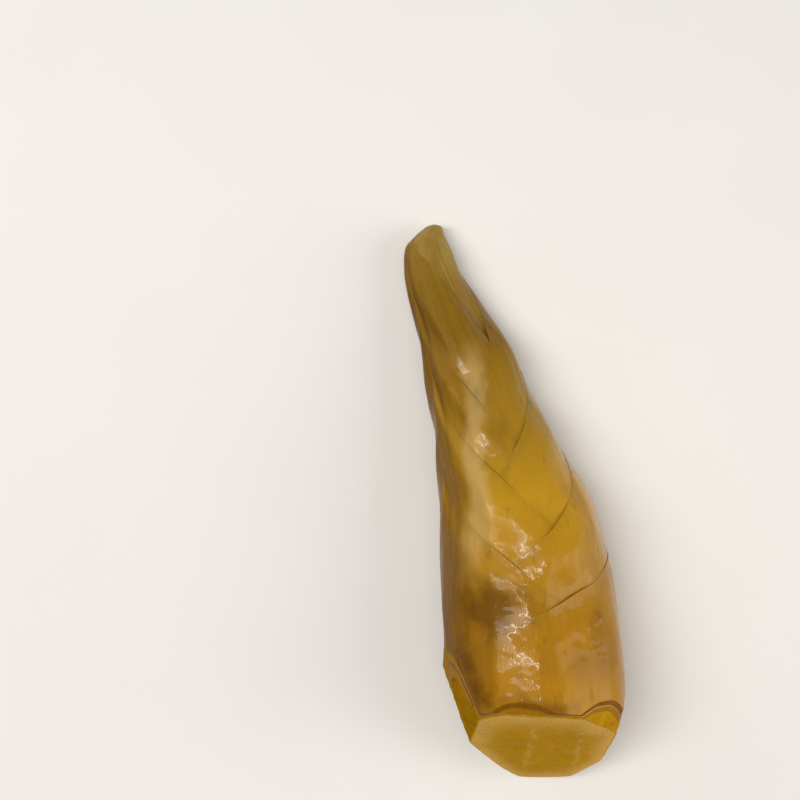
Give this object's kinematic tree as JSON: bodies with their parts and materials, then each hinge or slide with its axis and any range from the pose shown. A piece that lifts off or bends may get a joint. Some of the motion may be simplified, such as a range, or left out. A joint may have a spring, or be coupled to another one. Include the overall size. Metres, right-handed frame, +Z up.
{
  "type": "bamboo shoot",
  "caption": "Horn-shaped bamboo shoot in its husk, lying on its side: overlapping culm sheaths round a rolled bud, with a pared, knife-cut root end.",
  "frame": {"origin": "on the surface the shoot lies on, under the middle of its bounding box", "axes": "+Y along the shoot from the cut root end to the tip; +Z up; +X to the right of the tip, the side its bend turns away from"},
  "size_m": [0.0778, 0.2, 0.0574],
  "materials": {
    "husk": "wet satin, boiled fibrous husk",
    "tip_husk": "wet satin, darker olive brown husk",
    "flesh": "wet satin, cut boiled flesh"
  },
  "bodies": {
    "root": {"shoot_body": "flesh", "sheath_1": "husk", "sheath_2": "husk", "sheath_3": "husk", "sheath_4": "husk", "sheath_5": "husk", "sheath_6": "tip_husk", "sheath_7": "tip_husk", "sheath_8": "tip_husk", "tip_bud": "tip_husk"}
  },
  "joints": []
}
